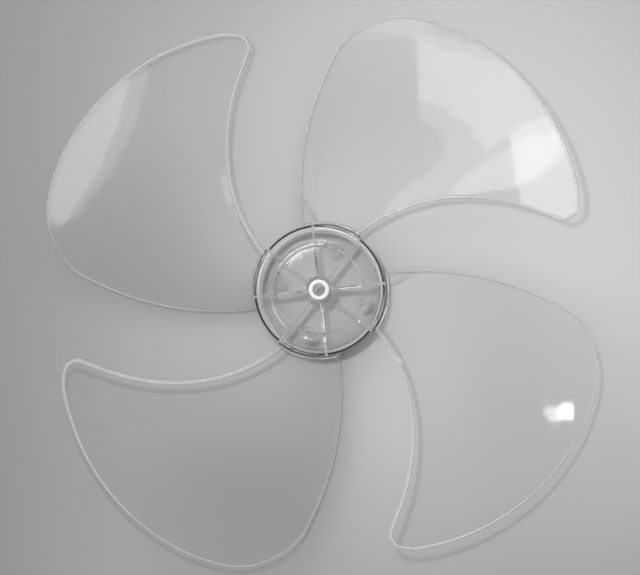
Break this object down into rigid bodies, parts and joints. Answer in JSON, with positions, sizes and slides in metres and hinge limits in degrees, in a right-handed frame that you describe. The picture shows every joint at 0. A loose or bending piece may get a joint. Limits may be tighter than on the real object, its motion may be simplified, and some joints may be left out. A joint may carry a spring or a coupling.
{
  "type": "axial fan impeller",
  "caption": "Clear moulded axial fan impeller: swept twisted petal blades on a round cupped hub with a bored, slotted shaft boss.",
  "frame": {"origin": "centre of the hub's back rim, on the shaft axis; the impeller rests on that rim", "axes": "+Z along the shaft towards the front, where the air enters; +X and +Y across, with the four blades a quarter turn apart and one leading edge leaving the hub 54 degrees from +X"},
  "size_m": [0.3676, 0.3676, 0.054],
  "materials": {
    "clear_plastic": "clear, glossy injection-moulded styrene acrylonitrile"
  },
  "bodies": {
    "root": {"impeller": "clear_plastic"}
  },
  "joints": []
}
